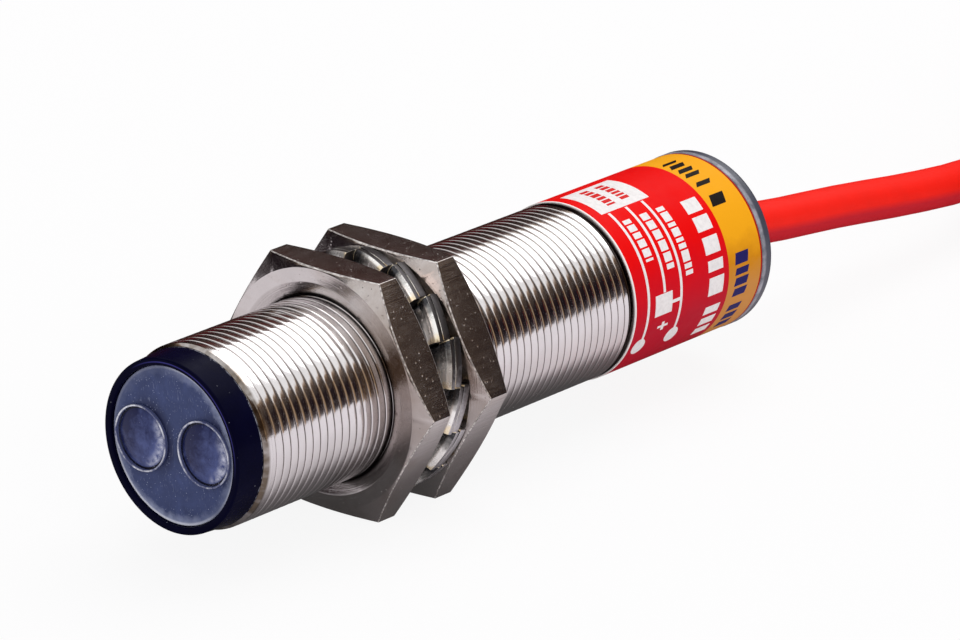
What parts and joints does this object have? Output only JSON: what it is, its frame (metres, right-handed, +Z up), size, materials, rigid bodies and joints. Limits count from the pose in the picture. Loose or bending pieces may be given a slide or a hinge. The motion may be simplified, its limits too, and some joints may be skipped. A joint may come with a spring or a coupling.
{
  "type": "diffuse photoelectric sensor",
  "caption": "Round threaded-barrel diffuse photoelectric sensor with a paired-lens window, hex nuts, toothed lock washers, a printed label and a cable folded in a tied hank with bare flying leads.",
  "frame": {"origin": "centre of the underside of the body's box, on the surface that the nuts stand on; the cable, its hank and leads aren't counted", "axes": "+Y along the barrel from the sensing face to the cable, +Z up, +X to the right when the sensing face is looked at"},
  "size_m": [0.0411, 0.2531, 0.024],
  "materials": {
    "barrel_nickel": "nickel plated over brass, glossy on the thread crests",
    "nut_nickel": "nickel plated over brass, glossy turned faces",
    "washer_steel": "bright sheet steel",
    "bezel_plastic": "moulded, satin",
    "window_filter": "smooth optical filter",
    "seal_rubber": "matte",
    "holder_plastic": "matte moulded",
    "emitter_epoxy": "clear epoxy",
    "receiver_epoxy": "dark filter epoxy",
    "board_laminate": "solder resist on glass-fibre laminate",
    "chip_black": "moulded, matte",
    "capacitor_can": "sleeved can",
    "ceramic_tan": "fired ceramic",
    "diode_body": "glass sleeve",
    "pot_blue": "moulded, matte",
    "trimmer_brass": "turned",
    "indicator_red": "tinted epoxy",
    "light_pipe_red": "tinted, clear",
    "cap_plastic": "moulded, satin",
    "bushing_rubber": "matte",
    "label_film": "printed film in red and yellow",
    "core_brown": "insulated wire",
    "core_blue": "insulated wire",
    "core_black": "insulated wire",
    "cable_jacket": "extruded jacket, satin",
    "tie_black": "moulded, satin"
  },
  "bodies": {
    "sensor": {"barrel": "barrel_nickel", "front_bezel": "bezel_plastic", "lens_window": "window_filter", "front_seal": "seal_rubber", "optic_holder": "holder_plastic", "emitter_led": "emitter_epoxy", "receiver_phototransistor": "receiver_epoxy", "circuit_board": "board_laminate", "control_ic": "chip_black", "output_transistor": "chip_black", "smoothing_capacitor": "capacitor_can", "ceramic_capacitors": "ceramic_tan", "chip_resistors": "chip_black", "protection_diode": "diode_body", "sensitivity_pot": "pot_blue", "indicator_led": "indicator_red", "light_pipe": "light_pipe_red", "rear_cap": "cap_plastic", "rear_seal": "seal_rubber", "strain_relief": "bushing_rubber", "label": "label_film", "core_brown": "core_brown", "core_blue": "core_blue", "core_black": "core_black", "cable": "cable_jacket", "cable_hank": "cable_jacket", "hank_tie": "tie_black", "lead_brown": "core_brown", "lead_blue": "core_blue", "lead_black": "core_black"},
    "front_washer": {"front_lock_washer": "washer_steel"},
    "front_nut": {"front_nut": "nut_nickel"},
    "rear_washer": {"rear_lock_washer": "washer_steel"},
    "rear_nut": {"rear_nut": "nut_nickel"},
    "trimmer": {"trimmer_screw": "trimmer_brass"}
  },
  "joints": [
    {"name": "front_washer_slide", "type": "slide", "parent": "sensor", "child": "front_washer", "axis": [0, -1, 0], "range_m": [0, 0.01605]},
    {"name": "front_nut_turn", "type": "hinge", "parent": "front_washer", "child": "front_nut", "pos_m": [0, -0.01765, 0.012], "axis": [0, -1, 0], "range_deg": [0, 5760]},
    {"name": "rear_washer_slide", "type": "slide", "parent": "sensor", "child": "rear_washer", "axis": [0, 1, 0], "range_m": [0, 0.02305]},
    {"name": "rear_nut_turn", "type": "hinge", "parent": "rear_washer", "child": "rear_nut", "pos_m": [0, -0.00955, 0.012], "axis": [0, 1, 0], "range_deg": [0, 8280]},
    {"name": "trimmer_turn", "type": "hinge", "parent": "sensor", "child": "trimmer", "pos_m": [0.00365, 0.0359, 0.01613], "axis": [0, 1, 0], "range_deg": [-135, 135]}
  ],
  "couplings": [
    {"joint": "front_washer_slide", "follows": "front_nut_turn", "m_per_rad": 0.00015915},
    {"joint": "rear_washer_slide", "follows": "rear_nut_turn", "m_per_rad": 0.00015915}
  ]
}
